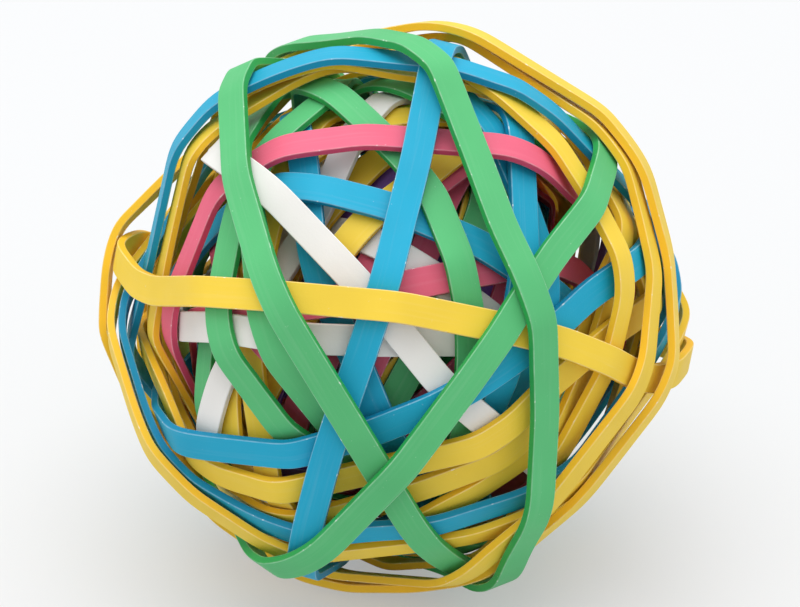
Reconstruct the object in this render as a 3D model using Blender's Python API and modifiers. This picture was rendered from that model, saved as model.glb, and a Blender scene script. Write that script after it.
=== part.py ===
"""Rubber band ball, about 60 mm across.

A wad of earlier bands, grown together into one round winding, is wrapped in flat rubber
bands. Each band goes once round the ball and is pulled tight over the bands put on before
it: straight from one crossing to the next, bent only where it bears on something. Every
outer band is a loose piece of its own, so the ball can be unwound in reverse order.

The middle of the ball's extents is the origin, and +Z is up.
"""

from math import atan2, cos, hypot, pi, radians, sin, sqrt, tau

import bmesh
import bpy
import numpy as np
from mathutils import Matrix, Vector
from mathutils.bvhtree import BVHTree

# Radius of the finished ball, in metres.
BALL_RADIUS = 0.0300
# The rubber bands.
BAND_WIDTH = 0.0032
# The last bands put on keep their thickness, and the first are drawn and pressed thinner.
BAND_THICKNESS = 0.0009
BURIED_THICKNESS = 0.0005
# Room left between a band and what it bears on.
SEAT_GAP = 0.0002
# Room left beside a band's edges.
SIDE_GAP = 0.0002
# Radius of the inner winding before its last turns, where the shaping of it starts.
CORE_RADIUS = 0.0180
# How far the inner winding's last turns stand above it.
CORE_RELIEF = 0.0009
# How far down those turns are grown into it.
CORE_SINK = 0.0055
# Turns that show on the inner winding.
CORE_TURNS = 6
# Subdivisions of the inner winding's ball.
CORE_SUBDIVISIONS = 3
# Trial windings that bring the inner winding to its shape.
TRIALS = 5
# Angle round a place in which the highest band counts as the ball's surface there.
TRIAL_SPREAD = radians(9)
# How far inside the ball's radius that surface lies, with its outermost bands standing proud.
PROUD = 0.0015

# How far a band may stand off its tightest line where its bends are drawn together.
BEND_MERGE = 0.00014
# How far a straight run of a band may leave its route sideways.
SIDE_DRIFT = 0.00022
# Spacing of the places where a band feels for what lies under it, along its route.
ROUTE_STEP = radians(1.5)
# Places where it feels across its width, and the height that it feels down from.
FEELERS = 9
FEELER_START = 4 * BALL_RADIUS
# Rounds of smoothing that turn a route's corners into bends.
ROUTE_SMOOTHING = 40

# How far a band may slip sideways off its charted route into a lower place: the first
# band put on, the last one, and any band where it runs round the back.
SLIP_FIRST = 0.0035
SLIP_LAST = 0.0010
SLIP_BEHIND = 0.0100
# Steps in which a band slips, and the places along its route that slip together.
SLIP_STEP = 0.0005
SLIP_PLACES = 4
# Height that a band gives up rather than slip by one step, or turn by one.
SLIP_COST = 0.00004
BEND_COST = 0.00012

# The chart's front point looks forward and up by this angle.
CHART_TILT = radians(30)

RUBBER_COLOURS = {
    "green": (0.16, 0.56, 0.27),
    "blue": (0.03, 0.38, 0.66),
    "pink": (0.86, 0.17, 0.28),
    "yellow": (0.84, 0.60, 0.13),
    "white": (0.82, 0.80, 0.77),
    "purple": (0.22, 0.12, 0.46),
}
RUBBER_ROUGHNESS = 0.62

# The bands in the order they were put on. Each route is charted on the ball's front as
# (longitude, latitude) in degrees, right and up from the front point, and the band runs
# on round the back through the points opposite.
BANDS = (
    ("purple", ((19, 30), (25, 0), (31, -30))),
    ("pink", ((27, -10), (17, -24), (10, -33))),
    ("blue", ((-6, -26), (15, -28), (36, -26))),
    ("purple", ((5, -29), (18, -38), (34, -46))),
    ("green", ((30, 42), (34, 24), (37, 5))),
    ("yellow", ((36, 25), (24, 6), (8, -17))),
    ("green", ((37, 36), (20, 14), (10, -7), (-5, -33))),
    ("white", ((31, 37), (12, 13), (-1, -14), (-17, -37))),
    ("pink", ((30, 46), (17, 26), (3, 2), (-6, -18), (-19, -35))),
    ("green", ((26, 47), (6, 16), (-17, -20))),
    ("pink", ((2, 31), (-6, 10), (-19, -15), (-33, -30))),
    ("purple", ((-1, 35), (-13, 18), (-22, -3), (-31, -24))),
    ("white", ((-26, 28), (-7, 19), (4, 14))),
    ("yellow", ((-20, -3), (-14, 6), (-9, 13), (0, 26))),
    ("yellow", ((-19, 24), (-11, 37), (3, 48))),
    ("white", ((-19, 36), (-15, 47), (0, 51))),
    ("yellow", ((-30, 40), (-21, 46), (-7, 53))),
    ("purple", ((-62, -3), (-59, -13), (-56, -23))),
    ("green", ((-47, 21), (-54, -3), (-56, -19), (-53, -26))),
    ("yellow", ((-43, 9), (-50, -15), (-50, -23))),
    ("white", ((-34, 10), (-43, -10), (-46, -25))),
    ("yellow", ((-36, 20), (-38, -6), (-41, -25))),
    ("pink", ((-45, 9), (-29, -9))),
    ("green", ((40, 33), (49, 18), (50, 10))),
    ("blue", ((-29, 46), (-22, 24), (-17, -2), (-6, -26), (10, -46), (25, -57))),
    ("pink", ((-70, -4), (-50, -3), (-32, -1), (-15, 2), (9, 8), (35, 12), (56, 15))),
    ("white", ((-66, -4), (-32, -2), (-8, -2), (30, -4))),
    ("blue", ((-66, 12), (-53, 29), (-26, 29), (9, 22), (38, 8))),
    ("green", ((-24, 56), (-43, 30), (-41, 17), (-38, -2), (-30, -28), (-8, -54), (22, -66))),
    ("blue", ((25, 52), (39, 40), (41, 10), (39, -10), (35, -22))),
    ("blue", ((33, -15), (35, -40), (36, -53), (25, -64))),
    ("green", ((-33, 57), (-6, 48), (11, 27), (20, 0), (24, -27), (28, -60))),
    ("pink", ((-72, -20), (-61, 7), (-45, 31), (-20, 42), (13, 44), (38, 41), (52, 29))),
    ("green", ((-57, 52), (-39, 30), (-30, 10), (-24, -10), (-12, -35), (1, -49), (25, -68))),
    ("white", ((-60, 38), (-26, 23), (4, -7), (33, -32), (62, -43))),
    ("yellow", ((-59, 31), (-71, 18), (-69, 7), (-77, -14))),
    ("yellow", ((-52, 53), (-20, 65), (12, 64))),
    ("yellow", ((56, -8), (44, -26), (15, -42))),
    ("yellow", ((58, -14), (45, -36), (19, -52), (-20, -72))),
    ("yellow", ((-78, -10), (-61, -31), (-15, -41), (13, -36), (40, -21), (60, -3))),
    ("blue", ((-66, -24), (-32, -32), (-4, -26), (26, -13), (57, 8))),
    ("yellow", ((38, 50), (55, 29), (60, 8), (58, -15), (53, -26))),
    ("blue", ((-79, 8), (-69, 34), (-38, 57), (-8, 61), (27, 57), (61, 39))),
    ("blue", ((-66, -33), (-54, -48), (-13, -56), (0, -58))),
    ("yellow", ((-66, -33), (-52, -54), (-15, -64), (30, -65), (43, -55))),
    ("blue", ((22, 64), (10, 40), (0, 10), (-7, -10), (-18, -30), (-31, -50), (-48, -63))),
    ("yellow", ((-78, 2), (-57, 3), (-27, 3), (0, 0), (43, -6), (80, -16))),
    ("green", ((-56, 53), (-38, 30), (-25, 10), (-18, -10), (-7, -30), (6, -50), (35, -70))),
    ("green", ((78, 41), (60, 30), (33, 10), (20, -10), (6, -30), (-20, -50), (-62, -60))),
    ("yellow", ((48, 66), (66, 46), (71, 22), (70, 5), (66, -15), (60, -32), (50, -46))),
    ("yellow", ((35, 77), (45, 67), (67, 47), (73, 22), (78, -4), (74, -25), (64, -45))),
    ("green", ((-45, 66), (-6, 67), (15, 50), (25, 20), (33, -10), (40, -30), (54, -58))),
)


def rubber_material(colour):
    material = bpy.data.materials.new(f"{colour}_rubber")
    material.use_nodes = True
    shader = material.node_tree.nodes["Principled BSDF"]
    shader.inputs["Base Color"].default_value = (*RUBBER_COLOURS[colour], 1)
    shader.inputs["Roughness"].default_value = RUBBER_ROUGHNESS
    shader.inputs["Metallic"].default_value = 0
    return material


def chart_point(longitude, latitude):
    """The direction from the ball's centre to a point of the chart."""
    east, north = radians(longitude), radians(latitude)
    seen = Vector((cos(north) * sin(east), -cos(north) * cos(east), sin(north)))
    return Matrix.Rotation(-CHART_TILT, 3, "X") @ seen


def route_through(corners):
    """The closed route round the ball through these directions."""
    places = []
    for here, there in zip(corners, corners[1:] + corners[:1]):
        steps = max(1, round(here.angle(there) / ROUTE_STEP))
        places += [here.slerp(there, step / steps) for step in range(steps)]
    return smooth_route(np.array(places))


def smooth_route(out):
    """A closed route: (directions, sideways directions, angles along it)."""
    for _ in range(ROUTE_SMOOTHING):
        out = (np.roll(out, 1, axis=0) + 2 * out + np.roll(out, -1, axis=0)) / 4
    out /= np.linalg.norm(out, axis=1, keepdims=True)
    side = np.cross(out, np.roll(out, -1, axis=0) - np.roll(out, 1, axis=0))
    side /= np.linalg.norm(side, axis=1, keepdims=True)
    lengths = np.linalg.norm(np.roll(out, -1, axis=0) - out, axis=1)
    angles = np.concatenate([[0], np.cumsum(lengths)[:-1]]) * tau / lengths.sum()
    return out, side, angles


def felt_heights(out, side, shifts, ground):
    """The height of the ground at each place of a route, at each shift sideways."""
    heights = np.zeros((len(out), len(shifts)))
    for place, (up, across) in enumerate(zip(out, side)):
        down = Vector(-up)
        for feeler, shift in enumerate(shifts):
            start = Vector(up * FEELER_START + across * shift)
            distance = ground.ray_cast(start, down)[3]
            if distance is not None:
                heights[place, feeler] = FEELER_START - distance
    return heights


def support_heights(out, side, ground):
    """The lowest inner height that clears the ground, at each place of a route."""
    reach = BAND_WIDTH / 2 + SIDE_GAP
    feelers = np.linspace(-reach, reach, FEELERS)
    heights = felt_heights(out, side, feelers, ground).max(axis=1)
    return np.maximum.reduce([heights, np.roll(heights, 1), np.roll(heights, -1)])


def settled_route(route, ground, slip):
    """The route after the band has slipped sideways, by up to slip, into lower places."""
    out, side, _ = route
    groups = len(out) // SLIP_PLACES
    out, side = out[: groups * SLIP_PLACES], side[: groups * SLIP_PLACES]
    reach = round((BAND_WIDTH / 2 + SIDE_GAP) / SLIP_STEP)
    most = round(max(slip, SLIP_BEHIND) / SLIP_STEP)
    steps = np.arange(-most, most + 1)
    feelers = np.arange(-most - reach, most + reach + 1) * SLIP_STEP
    heights = felt_heights(out, side, feelers, ground)
    wide = np.stack([heights[:, s : s + 2 * reach + 1].max(axis=1) for s in range(len(steps))])
    costs = wide.reshape(len(steps), groups, SLIP_PLACES).max(axis=2).T
    costs = costs + SLIP_COST * abs(steps)
    front = Matrix.Rotation(-CHART_TILT, 3, "X") @ Vector((0, -1, 0))
    in_front = out[::SLIP_PLACES] @ np.array(front) > 0
    costs[np.ix_(in_front, abs(steps) * SLIP_STEP > slip)] = FEELER_START
    costs = np.vstack([costs, costs])
    total, came_from = costs[0], []
    for cost in costs[1:]:
        turned = [np.full(len(steps), np.inf) for _ in range(3)]
        turned[0][1:] = total[:-1] + BEND_COST
        turned[1][:] = total
        turned[2][:-1] = total[1:] + BEND_COST
        came_from.append(np.argmin(turned, axis=0) - 1)
        total = np.min(turned, axis=0) + cost
    state = int(np.argmin(total))
    states = [state]
    for choice in reversed(came_from):
        state += int(choice[state])
        states.append(state)
    states = states[::-1]
    start = groups // 2
    chosen = np.roll(states[start : start + groups], start)
    shifts = np.repeat(steps[chosen] * SLIP_STEP, SLIP_PLACES)
    moved = out * wide.max() + side * shifts[:, None]
    return smooth_route(moved / np.linalg.norm(moved, axis=1, keepdims=True))


def convex_outline(points):
    """The convex outline of plane points, anticlockwise."""

    def chain(ordered):
        kept = []
        for point in ordered:
            while len(kept) > 1 and turn(kept[-2], kept[-1], point) <= 0:
                kept.pop()
            kept.append(point)
        return kept[:-1]

    ordered = sorted(points)
    return chain(ordered) + chain(ordered[::-1])


def turn(a, b, c):
    return (b[0] - a[0]) * (c[1] - b[1]) - (b[1] - a[1]) * (c[0] - b[0])


def corner_beyond(a, b, c, d):
    """Where the lines a-b and d-c meet beyond the edge b-c, and how far out that is."""
    first = (b[0] - a[0], b[1] - a[1])
    last = (c[0] - d[0], c[1] - d[1])
    across = first[0] * last[1] - first[1] * last[0]
    if across >= 0:
        return None, 1
    run = ((c[0] - b[0]) * last[1] - (c[1] - b[1]) * last[0]) / across
    corner = (b[0] + run * first[0], b[1] + run * first[1])
    edge = hypot(c[0] - b[0], c[1] - b[1])
    return corner, abs(turn(b, c, corner)) / edge


def fewer_bends(outline):
    """The outline with its short edges given up, each to the corner just beyond it."""
    outline = list(outline)
    while len(outline) > 8:
        count = len(outline)
        best, corner, place = BEND_MERGE, None, 0
        for k in range(count):
            around = [outline[(k + step) % count] for step in (-1, 0, 1, 2)]
            beyond, out_by = corner_beyond(*around)
            if beyond and out_by < best:
                best, corner, place = out_by, beyond, k
        if corner is None:
            break
        outline[place] = corner
        del outline[(place + 1) % count]
    return outline


def along(route, angle):
    """The direction out of the ball and the sideways direction at an angle of a route."""
    out, side, angles = route
    found = []
    for field in (out, side):
        looped = np.vstack([field, field[:1]])
        turns = np.append(angles, tau)
        found.append(np.array([np.interp(angle % tau, turns, column) for column in looped.T]))
    up = found[0] / np.linalg.norm(found[0])
    across = found[1] - up * (found[1] @ up)
    return up, across / np.linalg.norm(across)


def straight_height(start, end, angle):
    """The height at an angle of the straight run between two (angle, height) bends."""
    (first, low), (last, high) = start, end
    return low * high * sin(last - first) / (
        low * sin(angle - first) + high * sin(last - angle)
    )


def with_route_bends(route, bends):
    """Adds a bend inside each straight run that would leave the route sideways."""
    kept = []
    for start, end in zip(bends, bends[1:] + [(bends[0][0] + tau, bends[0][1])]):
        kept.append(start)
        middle = (start[0] + end[0]) / 2
        plane = np.cross(along(route, start[0])[0], along(route, end[0])[0])
        plane /= np.linalg.norm(plane)
        height = straight_height(start, end, middle)
        if abs(along(route, middle)[0] @ plane) * height > SIDE_DRIFT:
            kept.append((middle, height))
    return kept


def tight_bends(route, ground):
    """The (angle, height) bends of a band pulled tight along a route over the ground."""
    out, side, angles = route
    heights = support_heights(out, side, ground) + SEAT_GAP
    points = [(r * cos(a), r * sin(a)) for a, r in zip(angles, heights)]
    outline = fewer_bends(convex_outline(points))
    bends = sorted((atan2(y, x) % tau, hypot(x, y)) for x, y in outline)
    for _ in range(2):
        bends = with_route_bends(route, bends)
    return bends


def ribbon(name, route, bends, sink, thickness):
    """A flat band: a ring of edges drawn across the width, then thickened outwards."""
    shape = bmesh.new()
    places = [along(route, angle) for angle, _ in bends]
    near = [
        shape.verts.new(up * (height - sink) - across * (BAND_WIDTH / 2))
        for (up, across), (_, height) in zip(places, bends)
    ]
    rim = [shape.edges.new(pair) for pair in zip(near, near[1:] + near[:1])]
    made = bmesh.ops.extrude_edge_only(shape, edges=rim)["geom"]
    far = [item for item in made if isinstance(item, bmesh.types.BMVert)]
    for vertex in far:
        edge = next(e for e in vertex.link_edges if e.other_vert(vertex) in near)
        place = near.index(edge.other_vert(vertex))
        vertex.co += Vector(places[place][1] * BAND_WIDTH)
    bmesh.ops.recalc_face_normals(shape, faces=shape.faces)
    shape.faces.ensure_lookup_table()
    face = shape.faces[0]
    if face.normal.dot(face.calc_center_median()) < 0:
        bmesh.ops.reverse_faces(shape, faces=shape.faces)
    mesh = bpy.data.meshes.new(name)
    shape.to_mesh(mesh)
    shape.free()
    band = bpy.data.objects.new(name, mesh)
    thicken = band.modifiers.new("thickness", "SOLIDIFY")
    thicken.thickness = thickness + sink
    thicken.offset = 1
    thicken.use_even_offset = True
    return band


def evaluated_shape(piece):
    """(points, triangles) of a piece as it stands."""
    shown = piece.evaluated_get(bpy.context.evaluated_depsgraph_get())
    mesh = shown.to_mesh()
    mesh.calc_loop_triangles()
    points = [piece.matrix_world @ vertex.co for vertex in mesh.vertices]
    triangles = [tuple(triangle.vertices) for triangle in mesh.loop_triangles]
    shown.to_mesh_clear()
    return points, triangles


def ground_of(shapes):
    points, triangles = [], []
    for more_points, more_triangles in shapes:
        base = len(points)
        points += more_points
        triangles += [tuple(base + corner for corner in t) for t in more_triangles]
    return BVHTree.FromPolygons(points, triangles, all_triangles=True)


def core_route(turn_number):
    """A great circle whose axis is one of CORE_TURNS spread evenly over half a sphere."""
    height = (turn_number + 0.5) / CORE_TURNS
    heading = turn_number * pi * (3 - sqrt(5))
    flat = sqrt(1 - height * height)
    axis = Vector((flat * cos(heading), flat * sin(heading), height))
    start = axis.orthogonal().normalized()
    ahead = axis.cross(start)
    return route_through([start, ahead, -start, -ahead])


def inner_winding(collection, cutters, heights):
    """The inner winding: a wad with its last turns standing proud, in one piece."""
    core = wad(collection, heights)
    ground = ground_of([evaluated_shape(core)])
    for number in range(CORE_TURNS):
        route = core_route(number)
        bends = tight_bends(route, ground)
        thickness = CORE_RELIEF - SEAT_GAP
        turn_shape = ribbon(f"inner_turn_{number + 1}", route, bends, CORE_SINK, thickness)
        turn_shape.hide_render = True
        turn_shape.display_type = "WIRE"
        cutters.objects.link(turn_shape)
        join = core.modifiers.new(f"turn_{number + 1}", "BOOLEAN")
        join.operation = "UNION"
        join.object = turn_shape
    return core


def wad(collection, heights):
    """The inner winding's ball, with each of its points at a height of its own."""
    shape = bmesh.new()
    bmesh.ops.create_icosphere(shape, subdivisions=CORE_SUBDIVISIONS, radius=1)
    for vertex, height in zip(shape.verts, heights):
        vertex.co = vertex.co.normalized() * height
    mesh = bpy.data.meshes.new("inner_winding")
    shape.to_mesh(mesh)
    shape.free()
    core = bpy.data.objects.new("inner_winding", mesh)
    collection.objects.link(core)
    mesh.shade_smooth()
    mesh.materials.append(bpy.data.materials["green_rubber"])
    return core


def surface_height(ground, up):
    """The height of the highest band near a direction from the ball's centre."""
    level = up.orthogonal().normalized()
    found = []
    for spread, places in ((0, 1), (TRIAL_SPREAD / 2, 6), (TRIAL_SPREAD, 12)):
        for place in range(places):
            lean = Matrix.Rotation(place * tau / places, 3, up) @ level
            toward = up * cos(spread) + lean * sin(spread)
            found.append(FEELER_START - ground.ray_cast(toward * FEELER_START, -toward)[3])
    return max(found)


def core_heights(collection):
    """Heights for the inner winding's ball that leave the finished ball round.

    The earlier bands lie thinnest where most of the later ones cross. Each trial winds
    the whole ball, and lowers the wad wherever the ball came out too high.
    """
    shape = bmesh.new()
    bmesh.ops.create_icosphere(shape, subdivisions=CORE_SUBDIVISIONS, radius=1)
    directions = [vertex.co.normalized() for vertex in shape.verts]
    neighbours = [[e.other_vert(v).index for e in v.link_edges] for v in shape.verts]
    shape.free()
    heights = [CORE_RADIUS] * len(directions)
    surface = BALL_RADIUS - PROUD
    for _ in range(TRIALS):
        core = wad(collection, heights)
        ground = ground_of(outer_bands(collection, core))
        excess = [surface_height(ground, up) - surface for up in directions]
        wanted = [max(h - e, CORE_RADIUS / 2) for h, e in zip(heights, excess)]
        heights = [
            (wanted[k] + sum(wanted[n] for n in near)) / (1 + len(near))
            for k, near in enumerate(neighbours)
        ]
        for trial_piece in list(collection.objects):
            bpy.data.meshes.remove(trial_piece.data)
    return heights


def outer_bands(collection, core):
    """Winds the outer bands over the inner winding, and gives the shape of each piece."""
    shapes = [evaluated_shape(core)]
    numbers = dict.fromkeys(RUBBER_COLOURS, 0)
    for layer, (colour, chart) in enumerate(BANDS):
        numbers[colour] += 1
        front = [chart_point(*place) for place in chart]
        route = route_through(front + [-point for point in front])
        ground = ground_of(shapes)
        depth = 1 - layer / (len(BANDS) - 1)
        slip = SLIP_LAST + (SLIP_FIRST - SLIP_LAST) * depth
        thickness = BAND_THICKNESS + (BURIED_THICKNESS - BAND_THICKNESS) * depth
        route = settled_route(route, ground, slip)
        bends = tight_bends(route, ground)
        name = f"{colour}_band_{numbers[colour]}"
        band = ribbon(name, route, bends, 0, thickness)
        band.data.materials.append(bpy.data.materials[f"{colour}_rubber"])
        collection.objects.link(band)
        shapes.append(evaluated_shape(band))
    return shapes


def centre_ball(collection, cutters, shapes):
    """Hangs everything on an empty that brings the middle of the ball to the origin."""
    points = np.array([point for points, _ in shapes for point in points])
    middle = (points.min(axis=0) + points.max(axis=0)) / 2
    ball = bpy.data.objects.new("ball_centre", None)
    ball.empty_display_size = BALL_RADIUS
    ball.location = -Vector(middle)
    for piece in [*collection.objects, *cutters.objects]:
        piece.parent = ball
    collection.objects.link(ball)


def main():
    for old in list(bpy.data.objects):
        bpy.data.objects.remove(old)
    collections = []
    for name in ("rubber_band_ball", "inner_turns"):
        collection = bpy.data.collections.new(name)
        bpy.context.scene.collection.children.link(collection)
        collections.append(collection)
    for colour in RUBBER_COLOURS:
        rubber_material(colour)
    pieces, cutters = collections
    core = inner_winding(pieces, cutters, core_heights(pieces))
    centre_ball(pieces, cutters, outer_bands(pieces, core))


main()
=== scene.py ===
# %% [markdown]
# # A rubber band ball
# The ball is nothing but rubber bands. The fixed frame holds each band as a plain faceted
# ring, in its true place and size. This lesson turns every ring into soft cut rubber, and
# lights the ball as it lay on a pale table.

# %% Load the fixed frame
import math

import bmesh
import bpy
import numpy as np
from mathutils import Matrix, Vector


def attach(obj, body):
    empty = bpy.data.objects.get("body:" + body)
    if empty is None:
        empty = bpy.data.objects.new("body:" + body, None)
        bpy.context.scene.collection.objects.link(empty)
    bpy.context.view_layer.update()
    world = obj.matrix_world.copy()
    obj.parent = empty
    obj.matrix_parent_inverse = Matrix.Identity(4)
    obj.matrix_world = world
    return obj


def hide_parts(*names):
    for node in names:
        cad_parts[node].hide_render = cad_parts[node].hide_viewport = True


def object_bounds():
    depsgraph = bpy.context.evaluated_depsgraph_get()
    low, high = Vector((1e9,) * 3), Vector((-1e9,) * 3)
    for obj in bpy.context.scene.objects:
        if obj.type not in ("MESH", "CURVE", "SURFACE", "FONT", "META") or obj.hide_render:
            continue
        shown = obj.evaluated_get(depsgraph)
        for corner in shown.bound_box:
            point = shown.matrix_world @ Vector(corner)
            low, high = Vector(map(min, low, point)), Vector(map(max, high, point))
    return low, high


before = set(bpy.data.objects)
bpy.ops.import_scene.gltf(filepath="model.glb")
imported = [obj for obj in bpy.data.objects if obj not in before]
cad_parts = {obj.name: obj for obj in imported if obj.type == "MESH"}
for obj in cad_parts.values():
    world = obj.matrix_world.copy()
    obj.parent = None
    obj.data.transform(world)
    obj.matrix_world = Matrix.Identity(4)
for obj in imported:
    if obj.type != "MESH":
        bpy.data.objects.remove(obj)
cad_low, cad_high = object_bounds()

centre = (cad_low + cad_high) / 2
print("ball extents in mm:", [round(1000 * shaded_side, 1) for shaded_side in cad_high - cad_low])

# %% [markdown]
# ## The camera
# The photograph looks down on the ball at about 30 degrees, from about six ball diameters
# away. A long lens keeps the ball as large in the frame as it was there.

# %% Camera
IMAGE_WIDTH, IMAGE_HEIGHT = 800, 607
BALL_PIXEL = (398, 298)
BALL_PIXEL_RADIUS = 293
BALL_RADIUS = 0.0317
CAMERA_DISTANCE = 0.38
CAMERA_ELEVATION = math.radians(30)
SENSOR_WIDTH = 36
NEAREST_SHOWN = 0.01

half_angle = math.asin(BALL_RADIUS / CAMERA_DISTANCE)
focal_pixels = BALL_PIXEL_RADIUS / math.tan(half_angle)
lens = bpy.data.cameras.new("camera")
lens.sensor_width = SENSOR_WIDTH
lens.lens = SENSOR_WIDTH * focal_pixels / IMAGE_WIDTH
lens.shift_x = (IMAGE_WIDTH / 2 - BALL_PIXEL[0]) / IMAGE_WIDTH
lens.shift_y = (BALL_PIXEL[1] - IMAGE_HEIGHT / 2) / IMAGE_WIDTH
lens.clip_start = NEAREST_SHOWN
camera = bpy.data.objects.new("camera", lens)
toward_camera = Vector((0, -math.cos(CAMERA_ELEVATION), math.sin(CAMERA_ELEVATION)))
camera.location = centre + toward_camera * CAMERA_DISTANCE
camera.rotation_euler = (math.pi / 2 - CAMERA_ELEVATION, 0, 0)
bpy.context.scene.collection.objects.link(camera)
bpy.context.scene.camera = camera
print("lens in mm:", round(lens.lens, 1))

# %% [markdown]
# ## Nodes
# A procedural finish is a tree of small nodes. Each helper here adds one node, gives it its
# numbers, joins it to what comes before, and hands back its output, so that a finish
# further down reads like a recipe. The nodes could also be added one by one where they are
# used, but then the same few lines would stand there dozens of times.

# %% Helpers that every finish uses
def new_finish(name):
    """A material, its node tree and its main shader."""
    material = bpy.data.materials.new(name)
    material.use_nodes = True
    return material, material.node_tree, material.node_tree.nodes["Principled BSDF"]


def feed(tree, socket, value):
    """Joins another node's output to the socket, or sets the socket's own value."""
    if isinstance(value, bpy.types.NodeSocket):
        tree.links.new(value, socket)
    elif socket.type == "RGBA":
        socket.default_value = (*value, 1)
    else:
        socket.default_value = value


def calculated(tree, operation, *values):
    """One step of arithmetic, on one or two values."""
    node = tree.nodes.new("ShaderNodeMath")
    node.operation = operation
    for socket, value in zip(node.inputs, values):
        feed(tree, socket, value)
    return node.outputs["Value"]


# %% [markdown]
# ## The floor
# A plain pale table. In the photograph it is exposed almost to white, and the ball's shadow
# on it is light. More lamp power would do that too, but it would bleach the rubber. So the
# floor has two finishes. The one that throws light back on the ball is a middling grey,
# so that the low bands stay about as deep in colour as in the photograph. The one that the
# camera and the reflections see is a diffuse grey with a little glow added.

# %% Floor
FLOOR_SIZE = 6.0

floor_shape = bmesh.new()
bmesh.ops.create_grid(floor_shape, x_segments=1, y_segments=1, size=FLOOR_SIZE / 2)
bmesh.ops.translate(floor_shape, verts=floor_shape.verts, vec=(0, 0, cad_low.z))
floor_mesh = bpy.data.meshes.new("floor")
floor_shape.to_mesh(floor_mesh)
floor_shape.free()
floor = bpy.data.objects.new("floor", floor_mesh)
bpy.context.scene.collection.objects.link(floor)
print("floor at", round(1000 * cad_low.z, 1), "mm")

# %% Floor paint
FLOOR_COLOUR = (0.60, 0.61, 0.62)
FLOOR_ROUGHNESS = 0.7
FLOOR_SEEN_COLOUR = (0.480, 0.488, 0.498)
FLOOR_GLOW = 0.34

floor_paint, tree, plain = new_finish("floor_paint")
feed(tree, plain.inputs["Base Color"], FLOOR_COLOUR)
feed(tree, plain.inputs["Roughness"], FLOOR_ROUGHNESS)
seen = tree.nodes.new("ShaderNodeBsdfDiffuse")
feed(tree, seen.inputs["Color"], FLOOR_SEEN_COLOUR)
glow = tree.nodes.new("ShaderNodeEmission")
feed(tree, glow.inputs["Strength"], FLOOR_GLOW)
seen_with_glow = tree.nodes.new("ShaderNodeAddShader")
feed(tree, seen_with_glow.inputs[0], seen.outputs["BSDF"])
feed(tree, seen_with_glow.inputs[1], glow.outputs["Emission"])
ray = tree.nodes.new("ShaderNodeLightPath").outputs
looked_at = calculated(tree, "MAXIMUM", ray["Is Camera Ray"], ray["Is Glossy Ray"])
either = tree.nodes.new("ShaderNodeMixShader")
feed(tree, either.inputs["Fac"], looked_at)
feed(tree, either.inputs[1], plain.outputs["BSDF"])
feed(tree, either.inputs[2], seen_with_glow.outputs["Shader"])
feed(tree, tree.nodes["Material Output"].inputs["Surface"], either.outputs["Shader"])
floor_mesh.materials.append(floor_paint)
print("floor paint:", len(tree.nodes), "nodes")

# %% [markdown]
# ## The light
# One broad soft lamp overhead gives the bands their soft shadows on one another, and a pale
# sky fills the hollows between them. A small lamp would draw hard shadows, which the
# photograph doesn't have.

# %% Lights
LAMP_POWER = 4.7
LAMP_SIZE = 0.9
LAMP_PLACE = Vector((-0.04, 0.03, 0.75))
SKY_COLOUR = (1, 1, 1, 1)
SKY_STRENGTH = 0.78

lamp_data = bpy.data.lights.new("overhead_softbox", "AREA")
lamp_data.energy = LAMP_POWER
lamp_data.size = LAMP_SIZE
lamp = bpy.data.objects.new("overhead_softbox", lamp_data)
lamp.location = centre + LAMP_PLACE
lamp.rotation_euler = (-LAMP_PLACE).to_track_quat("-Z", "Y").to_euler()
bpy.context.scene.collection.objects.link(lamp)
world = bpy.data.worlds.new("pale_room")
world.use_nodes = True
world.node_tree.nodes["Background"].inputs["Color"].default_value = SKY_COLOUR
world.node_tree.nodes["Background"].inputs["Strength"].default_value = SKY_STRENGTH
bpy.context.scene.world = world
bpy.context.scene.view_settings.view_transform = "Standard"
print("lamp", round(1000 * LAMP_PLACE.length), "mm from the ball's middle")

# %% [markdown]
# ## Rubber
# A flat band is punched from a rubber tube, so it has two kinds of surface. Its broad faces
# are the tube's skin: matte, with specks of the powder that keeps bands from sticking. Its
# cut sides are deeper and warmer in colour: partly the rubber itself, and partly painted
# shade and the glow of light through the rubber, since the sides lie in shade between bands.
# The corner between them is a thin pale line, a painted highlight, with small nicks of wear.
# Three attributes, made with the mesh below, tell the shader where it is: cut_side, cut_edge,
# and winding_place, which runs along and across the band, so that the faint streaks follow
# the band round the ball. An image texture would show the same, but it would need an
# unwrapped map for every band.

# %% The six rubbers, each as skin and as cut side with painted shade
# Each rubber is skin, then cut side. The cut colour is deeper: partly the rubber itself, partly
# painted shade and glow of the sides.
RUBBER = {
    "green": ((0.110, 0.540, 0.205), (0.027, 0.390, 0.085)),
    "blue": ((0.012, 0.410, 0.640), (0.002, 0.280, 0.500)),
    "pink": ((0.860, 0.145, 0.240), (0.720, 0.075, 0.160)),
    "yellow": ((0.970, 0.680, 0.062), (0.960, 0.570, 0.026)),
    "white": ((0.900, 0.880, 0.850), (0.830, 0.790, 0.740)),
    "purple": ((0.270, 0.125, 0.520), (0.160, 0.060, 0.350)),
}


def paler(colour, share):
    return tuple(channel + (1 - channel) * share for channel in colour)


def deeper(colour, kept):
    return tuple(channel * kept for channel in colour)


print("rubbers:", ", ".join(RUBBER))

# %% [markdown]
# Every mark on the rubber starts as noise, which runs from 0 to 1. A ramp turns a stretch
# of it into a share of paint, and is written here as four numbers: the noise where it
# starts and ends, and the share at each. A noise is written as the size of its blotches in
# metres, and how many finer layers it has.

# %% Helpers for marks
STREAK_LAYERS = 2
SOCKET_TYPES = {"RGBA": "RGBA", "FLOAT": "VALUE"}


def attribute(tree, name, output):
    node = tree.nodes.new("ShaderNodeAttribute")
    node.attribute_name = name
    return node.outputs[output]


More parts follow.
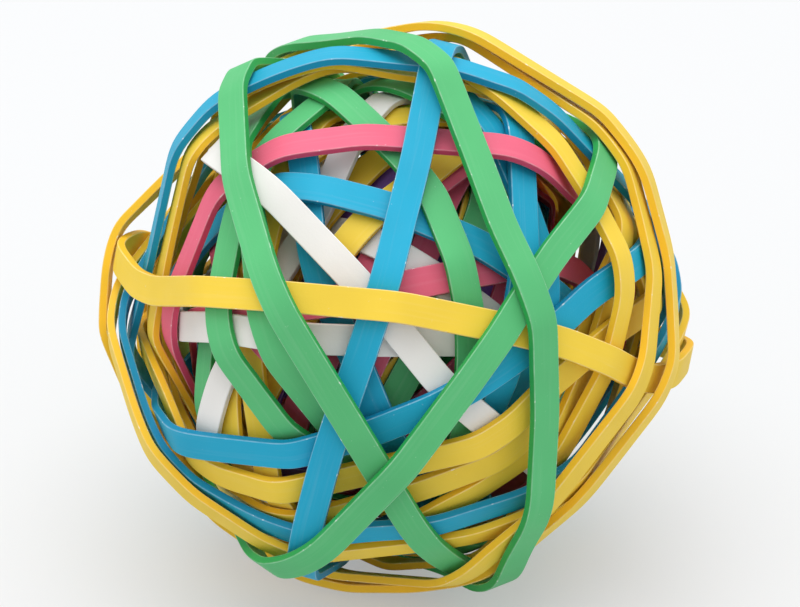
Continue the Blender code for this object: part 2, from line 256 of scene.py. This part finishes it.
def noise(tree, place, size, finer_layers):
    texture = tree.nodes.new("ShaderNodeTexNoise")
    feed(tree, texture.inputs["Vector"], place)
    feed(tree, texture.inputs["Scale"], 1 / size)
    feed(tree, texture.inputs["Detail"], finer_layers)
    return texture.outputs["Fac"]


def streaks(tree, repeats):
    """Noise drawn out along the band: few repeats in a metre of it, and many across."""
    stretched = tree.nodes.new("ShaderNodeMapping")
    feed(tree, stretched.inputs["Vector"], attribute(tree, "winding_place", "Vector"))
    feed(tree, stretched.inputs["Scale"], repeats)
    return noise(tree, stretched.outputs["Vector"], 1, STREAK_LAYERS)


def ramp(tree, source, numbers):
    node = tree.nodes.new("ShaderNodeMapRange")
    feed(tree, node.inputs["Value"], source)
    for socket, number in zip(("From Min", "From Max", "To Min", "To Max"), numbers):
        feed(tree, node.inputs[socket], number)
    return node.outputs["Result"]


def mixed(tree, kind, share, first, second):
    """The first colour or number, with a share of the second over it."""
    node = tree.nodes.new("ShaderNodeMix")
    node.data_type = kind
    wanted = SOCKET_TYPES[kind]
    ends = [s for s in node.inputs if s.name in ("A", "B") and s.type == wanted]
    feed(tree, node.inputs["Factor"], share)
    feed(tree, ends[0], first)
    feed(tree, ends[1], second)
    return next(s for s in node.outputs if s.type == wanted)


def bump(tree, height, strength, distance, under=None):
    node = tree.nodes.new("ShaderNodeBump")
    feed(tree, node.inputs["Strength"], strength)
    feed(tree, node.inputs["Distance"], distance)
    feed(tree, node.inputs["Height"], height)
    if under is not None:
        feed(tree, node.inputs["Normal"], under)
    return node.outputs["Normal"]


# %% [markdown]
# The body colour comes first. The skin is mottled very slightly, and both it and the cut
# rubber have faint streaks along the band, left by the drawing of the tube and by the knife.
# Two flat colours would do from far off, but close up the band would look like paint.

# %% Paint of the skin and of the cut sides
MOTTLE_NOISE = (0.012, 3)
MOTTLE_RAMP = (0.35, 0.65, 0, 1)
MOTTLE_KEPT = 0.90
SKIN_STREAK_RAMP = (0.52, 0.75, 0, 0.12)
SKIN_STREAK_PALER = 0.25
CUT_STREAK_RAMP = (0.40, 0.70, 0, 0.35)
CUT_STREAK_KEPT = 0.80


def body_paint(tree, place, streak, skin, cut_and_shade):
    mottle = ramp(tree, noise(tree, place, *MOTTLE_NOISE), MOTTLE_RAMP)
    face = mixed(tree, "RGBA", mottle, deeper(skin, MOTTLE_KEPT), skin)
    pale_streak = ramp(tree, streak, SKIN_STREAK_RAMP)
    face = mixed(tree, "RGBA", pale_streak, face, paler(skin, SKIN_STREAK_PALER))
    deep_streak = ramp(tree, streak, CUT_STREAK_RAMP)
    shaded_side = mixed(tree, "RGBA", deep_streak, cut_and_shade, deeper(cut_and_shade, CUT_STREAK_KEPT))
    # The cut sides take the deeper colour, which is partly painted shade.
    return mixed(tree, "RGBA", attribute(tree, "cut_side", "Fac"), face, shaded_side)


# %% [markdown]
# A painted highlight and wear come on top. Every corner is painted paler along its length,
# more in some patches than others, as a painted highlight of the lit rim. Small bits of it
# are nicked. Over the whole band lie a few fine scratches and specks of powder.

# %% Painted rim highlight and wear
RIM_HIGHLIGHT_NOISE = (0.0012, 2)
RIM_HIGHLIGHT_RAMP = (0.35, 0.65, 0.17, 0.34)
RIM_HIGHLIGHT_PALER = 0.55
NICK_NOISE = (0.0006, 1)
NICK_RAMP = (0.68, 0.74, 0, 0.7)
NICK_PALER = 0.75
SCRATCH_REPEATS = (160, 160, 5200)
SCRATCH_RAMP = (0.74, 0.82, 0, 0.09)
SCRATCH_PALER = 0.45
SPECK_NOISE = (0.00045, 2)
SPECK_RAMP = (0.74, 0.82, 0, 0.40)
SPECK_PALER = 0.6


def wear_and_rim_highlight(tree, place, body, skin):
    rim = attribute(tree, "cut_edge", "Fac")
    # The first pattern is a painted highlight along every corner, the second is nicks of wear.
    for pattern, numbers, pale in (
        (RIM_HIGHLIGHT_NOISE, RIM_HIGHLIGHT_RAMP, RIM_HIGHLIGHT_PALER),
        (NICK_NOISE, NICK_RAMP, NICK_PALER),
    ):
        share = ramp(tree, noise(tree, place, *pattern), numbers)
        on_rim = calculated(tree, "MULTIPLY", rim, share)
        body = mixed(tree, "RGBA", on_rim, body, paler(skin, pale))
    scratch = ramp(tree, streaks(tree, SCRATCH_REPEATS), SCRATCH_RAMP)
    body = mixed(tree, "RGBA", scratch, body, paler(skin, SCRATCH_PALER))
    speck = ramp(tree, noise(tree, place, *SPECK_NOISE), SPECK_RAMP)
    return mixed(tree, "RGBA", speck, body, paler(skin, SPECK_PALER))


# %% [markdown]
# Last comes the touch of the rubber. It is matte with a soft sheen, a little duller in
# slow patches and along the streaks. A fine grain and the drawn streaks are only bumps,
# since they are a few hundredths of a millimetre high.

# %% The rubber itself
RUBBER_GLOSS = 0.28
STREAK_REPEATS = (70, 70, 2600)
DULL_NOISE = (0.004, 2)
DULL_RAMP = (0.3, 0.7, 0.50, 0.62)
STREAK_DULL_RAMP = (0.3, 0.7, -0.03, 0.05)
GRAIN_NOISE = (0.00022, 3)
GRAIN_STRENGTH, GRAIN_HEIGHT = 0.16, 0.00006
DRAWN_STRENGTH, DRAWN_HEIGHT = 0.07, 0.00005


def rubber_material(name, skin, cut_and_shade):
    material, tree, shader = new_finish(f"{name}_band_rubber")
    place = tree.nodes.new("ShaderNodeTexCoord").outputs["Object"]
    streak = streaks(tree, STREAK_REPEATS)
    body = wear_and_rim_highlight(tree, place, body_paint(tree, place, streak, skin, cut_and_shade), skin)
    feed(tree, shader.inputs["Base Color"], body)
    feed(tree, shader.inputs["Specular IOR Level"], RUBBER_GLOSS)
    patches = ramp(tree, noise(tree, place, *DULL_NOISE), DULL_RAMP)
    dull = calculated(tree, "ADD", patches, ramp(tree, streak, STREAK_DULL_RAMP))
    feed(tree, shader.inputs["Roughness"], dull)
    grain = bump(tree, noise(tree, place, *GRAIN_NOISE), GRAIN_STRENGTH, GRAIN_HEIGHT)
    drawn = bump(tree, streak, DRAWN_STRENGTH, DRAWN_HEIGHT, under=grain)
    feed(tree, shader.inputs["Normal"], drawn)
    return material


rubbers = {name: rubber_material(name, *colours) for name, colours in RUBBER.items()}
print(len(rubbers), "rubbers of", len(rubbers["green"].node_tree.nodes), "nodes each")

# %% [markdown]
# ## The bands
# A real band is flat, with four crisp long corners, and it bends only where it is pulled
# over another band. The frame's rings have that form, but with straight runs, sharp bends
# and loose triangles. A curve with a flat section would bend smoothly too, but it would
# have to find each ring's place and twist again. So a copy of each ring is cleaned and
# smoothed instead, one step for all the rings at a time. First the loose corners are
# merged, and the triangles are joined to four-sided faces.

# %% Clean the rings
MERGE_DISTANCE = 1e-6
JOIN_ANGLE = math.radians(25)


def clean_ring(node_name):
    shape = bmesh.new()
    shape.from_mesh(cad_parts[node_name].data)
    bmesh.ops.remove_doubles(shape, verts=shape.verts, dist=MERGE_DISTANCE)
    bmesh.ops.join_triangles(
        shape, faces=shape.faces, angle_face_threshold=JOIN_ANGLE, angle_shape_threshold=math.pi
    )
    return shape


band_names = sorted(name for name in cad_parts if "_band_" in name)
rings = {node_name: clean_ring(node_name) for node_name in band_names}
print(len(rings), "rings,", sum(len(ring.faces) for ring in rings.values()), "faces")

# %% [markdown]
# Subdivision Surface, which rounds the bends below, moves a bend by about a third of the
# run beside it. On long runs that is more than a millimetre, enough to press one band into
# the next. So the long runs are first cut into short ones, right round the band. The cuts
# change nothing by themselves, but they keep each bend within half a millimetre of its
# place.

# %% Cut the long runs
LONGEST_RUN = 0.0045
RUN_LENGTH = 0.0032
CORNERS_OF_A_FACE = 4


def shorten_runs(shape):
    """Cuts each long straight run into equal lengths, through all four faces of the band."""
    to_cut = {}
    taken = set()
    for edge in shape.edges:
        if edge in taken or edge.calc_length() < LONGEST_RUN:
            continue
        around, loop = [edge], edge.link_loops[0]
        while len(loop.face.verts) == CORNERS_OF_A_FACE:
            loop = loop.link_loop_next.link_loop_next.link_loop_radial_next
            if loop.edge == edge:
                length = sum(e.calc_length() for e in around) / len(around)
                to_cut.setdefault(math.ceil(length / RUN_LENGTH) - 1, []).extend(around)
                break
            around.append(loop.edge)
        taken.update(around)
    for cuts, edges in sorted(to_cut.items()):
        bmesh.ops.subdivide_edges(shape, edges=edges, cuts=cuts)


for ring in rings.values():
    shorten_runs(ring)
print("with short runs:", sum(len(ring.faces) for ring in rings.values()), "faces")

# %% [markdown]
# Subdivision Surface rounds every edge alike, and would make the band a cord. A full crease
# keeps an edge as it is, so the four long edges get one. They are found by their angle: a
# bend along a band is gentler than 50 degrees. One bend isn't, of a blue band deep in the
# ball, and it stays crisp as well.

# %% Crease the long edges
LONG_EDGE_ANGLE = math.radians(50)
FULL_CREASE = 1


def long_edges(shape):
    return [e for e in shape.edges if e.is_manifold and e.calc_face_angle() > LONG_EDGE_ANGLE]


for ring in rings.values():
    crease = ring.edges.layers.float.new("crease_edge")
    for edge in long_edges(ring):
        edge[crease] = FULL_CREASE
print("creased edges:", sum(len(long_edges(ring)) for ring in rings.values()))

# %% [markdown]
# The rubber's streaks run along the band, so each corner is told its place on it. A band
# lies nearly in one plane. Numpy fits that plane with a singular value decomposition, which
# gives three axes, the last of them the one along which the corners spread least. The turn
# round that axis is the place along the band. The step over the band's width shows which
# of its two cut sides a corner is on, and a face whose corners are all on one side is a
# cut side. An unwrapped map would do the same, but it would need a seam.

# %% Mark where each corner lies on its band
BAND_WIDTH = 0.0032


def mark_places(shape):
    """Writes winding_place on the corners, and cut_side on the faces, which it counts."""
    corners = np.array([vertex.co for vertex in shape.verts])
    axes = np.linalg.svd(corners - corners.mean(0))[2]
    first_axis, second_axis, normal = (Vector(axis) for axis in axes)
    radius = float(np.linalg.norm(corners, axis=1).mean())
    winding = shape.verts.layers.float_vector.new("winding_place")
    cut_side = shape.faces.layers.float.new("cut_side")
    for vertex in shape.verts:
        steps = [edge.other_vert(vertex).co - vertex.co for edge in vertex.link_edges]
        over = max(steps, key=lambda step: abs(step.normalized().dot(normal)))
        turn = math.atan2(vertex.co.dot(second_axis), vertex.co.dot(first_axis))
        across = math.copysign(BAND_WIDTH / 2, -over.dot(normal))
        vertex[winding] = (radius * math.cos(turn), radius * math.sin(turn), across)
    for face in shape.faces:
        sides = [vertex[winding].z > 0 for vertex in face.verts]
        face[cut_side] = 1.0 if all(sides) or not any(sides) else 0.0
    return sum(face[cut_side] for face in shape.faces)


print("faces on cut sides:", round(sum(mark_places(ring) for ring in rings.values())))

# %% [markdown]
# Now the bends are rounded. The modifier's result is kept as the mesh, because the worn
# corners of the next step are cut into the finer faces.

# %% Round the bends
SUBDIVISIONS = 2


def rounded(shape, name):
    """A piece with the shape after Catmull-Clark subdivision."""
    mesh = bpy.data.meshes.new(name)
    shape.to_mesh(mesh)
    shape.free()
    piece = bpy.data.objects.new(name, mesh)
    bpy.context.scene.collection.objects.link(piece)
    smooth = piece.modifiers.new("smooth", "SUBSURF")
    smooth.levels = smooth.render_levels = SUBDIVISIONS
    shown = piece.evaluated_get(bpy.context.evaluated_depsgraph_get())
    finer = bpy.data.meshes.new_from_object(shown)
    piece.modifiers.clear()
    piece.data = finer
    bpy.data.meshes.remove(mesh)
    return piece


bands = {node_name: rounded(ring, f"rubber_{node_name}") for node_name, ring in rings.items()}
print("rounded:", sum(len(band.data.polygons) for band in bands.values()), "faces")

# %% [markdown]
# A corner of real rubber is never a knife edge. A narrow bevel along the long edges catches
# the light as the worn corner does. The bevel's own borders are marked sharp, so that the
# broad faces stay flat to the eye: smooth shading across them would make the band look
# round.

# %% Wear the corners
EDGE_BEVEL = 0.00010
BEVEL_SEGMENTS = 2


def wear_corners(piece):
    """Bevels the long edges, marks the bevel as cut_edge, and keeps its borders sharp."""
    shape = bmesh.new()
    shape.from_mesh(piece.data)
    cut_edge = shape.faces.layers.float.new("cut_edge")
    made = bmesh.ops.bevel(
        shape, geom=long_edges(shape), affect="EDGES", offset=EDGE_BEVEL,
        segments=BEVEL_SEGMENTS, profile=0.5, material=-1,
    )
    for face in shape.faces:
        face.smooth = True
        face[cut_edge] = 0.0
    for face in made["faces"]:
        face[cut_edge] = 1.0
    for edge in shape.edges:
        worn_sides = sum(face[cut_edge] for face in edge.link_faces)
        edge.smooth = worn_sides != 1
    shape.to_mesh(piece.data)
    shape.free()


for band in bands.values():
    wear_corners(band)
print("bevelled:", sum(len(band.data.polygons) for band in bands.values()), "faces")

# %% [markdown]
# Each finished band takes its rubber, and stands for its ring from now on. The ring stays
# in the frame unseen. Nothing on the ball moves, so all the bands ride on its one body.

# %% Put the bands in place of the rings
for node_name, piece in bands.items():
    colour = node_name.split("_")[0]
    piece.data.materials.clear()
    piece.data.materials.append(rubbers[colour])
    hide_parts(node_name)
    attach(piece, "root")
print(len(bands), "bands in place")

# %% [markdown]
# ## The inner winding
# Under the outer bands lie the earlier ones, far too many to model, and only scraps of them
# show through the gaps. The frame has them as one solid with raised turns, and its shape
# stays. Its rubber is drawn as layers of parallel turns. In a layer, a dot product with the
# layer's axis counts the turns, white noise picks each turn's colour, and a nearly black line
# of painted shade runs in the crease between neighbours.

# %% One layer of turns
TURN_WIDTH = 0.0034
TURN_MIDDLE = 0.5
SEAM_RAMP = (0.44, 0.5, 1, 0)
LAYER_SHIFT = 37.5


def turn_colour(tree, pick):
    """A number from 0 to 1 as one of the rubbers, half skin and half cut side with its painted
    shade.
    """
    node = tree.nodes.new("ShaderNodeValToRGB")
    node.color_ramp.interpolation = "CONSTANT"
    stops = node.color_ramp.elements
    given = len(stops)
    for index, (skin, cut_and_shade) in enumerate(RUBBER.values()):
        stop = stops[index] if index < given else stops.new(index / len(RUBBER))
        stop.position = index / len(RUBBER)
        # Half of each turn's colour is the cut side's, with its painted shade.
        stop.color = (*(0.5 * (s + c) for s, c in zip(skin, cut_and_shade)), 1)
    feed(tree, node.inputs["Fac"], pick)
    return node.outputs["Color"]


def turns(tree, place, axis, number):
    """A layer's colour, and its height: 1 on a turn, falling to 0 at a seam."""
    dot = tree.nodes.new("ShaderNodeVectorMath")
    dot.operation = "DOT_PRODUCT"
    feed(tree, dot.inputs[0], place)
    feed(tree, dot.inputs[1], axis)
    count = calculated(tree, "DIVIDE", dot.outputs["Value"], TURN_WIDTH)
    pick = tree.nodes.new("ShaderNodeTexWhiteNoise")
    pick.noise_dimensions = "1D"
    whole = calculated(tree, "FLOOR", count)
    feed(tree, pick.inputs["W"], calculated(tree, "ADD", whole, LAYER_SHIFT * number))
    across = calculated(tree, "SUBTRACT", calculated(tree, "FRACT", count), TURN_MIDDLE)
    height = ramp(tree, calculated(tree, "ABSOLUTE", across), SEAM_RAMP)
    return turn_colour(tree, pick.outputs["Value"]), height


# %% [markdown]
# Three such layers cross. The cells of a Voronoi texture choose which of them lies
# uppermost in each patch, as the turns of a real winding do. A single layer would look like
# a reel of tape.

# %% Rubber of the inner winding
LOWEST_AXIS = (0.20, 0.35, 0.92)
UPPER_LAYERS = (
    ((0.88, -0.30, 0.37), "Red", 0.36),
    ((-0.55, 0.72, 0.42), "Green", 0.64),
)
LAYER_PATCH = 0.011
SEAM_SHADE_COLOUR = (0.03, 0.03, 0.02)
TURN_ROUGHNESS = 0.6
TURN_STRENGTH, TURN_HEIGHT = 0.6, 0.0004


def turns_material(name):
    material, tree, shader = new_finish(name)
    place = tree.nodes.new("ShaderNodeTexCoord").outputs["Object"]
    cells = tree.nodes.new("ShaderNodeTexVoronoi")
    feed(tree, cells.inputs["Vector"], place)
    feed(tree, cells.inputs["Scale"], 1 / LAYER_PATCH)
    apart = tree.nodes.new("ShaderNodeSeparateColor")
    feed(tree, apart.inputs["Color"], cells.outputs["Color"])
    colour, height = turns(tree, place, LOWEST_AXIS, 0)
    for number, (axis, channel, least) in enumerate(UPPER_LAYERS, start=1):
        uppermost = calculated(tree, "GREATER_THAN", apart.outputs[channel], least)
        layer_colour, layer_height = turns(tree, place, axis, number)
        colour = mixed(tree, "RGBA", uppermost, colour, layer_colour)
        height = mixed(tree, "FLOAT", uppermost, height, layer_height)
    # Painted shade: the seams between turns are painted nearly black.
    colour_with_seam_shade = mixed(tree, "RGBA", height, SEAM_SHADE_COLOUR, colour)
    feed(tree, shader.inputs["Base Color"], colour_with_seam_shade)
    feed(tree, shader.inputs["Roughness"], TURN_ROUGHNESS)
    feed(tree, shader.inputs["Normal"], bump(tree, height, TURN_STRENGTH, TURN_HEIGHT))
    return material


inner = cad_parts["inner_winding"]
for material_slot in inner.material_slots:
    material_slot.material = turns_material("inner_winding_rubber")
print("inner winding:", len(inner.material_slots), "finish")
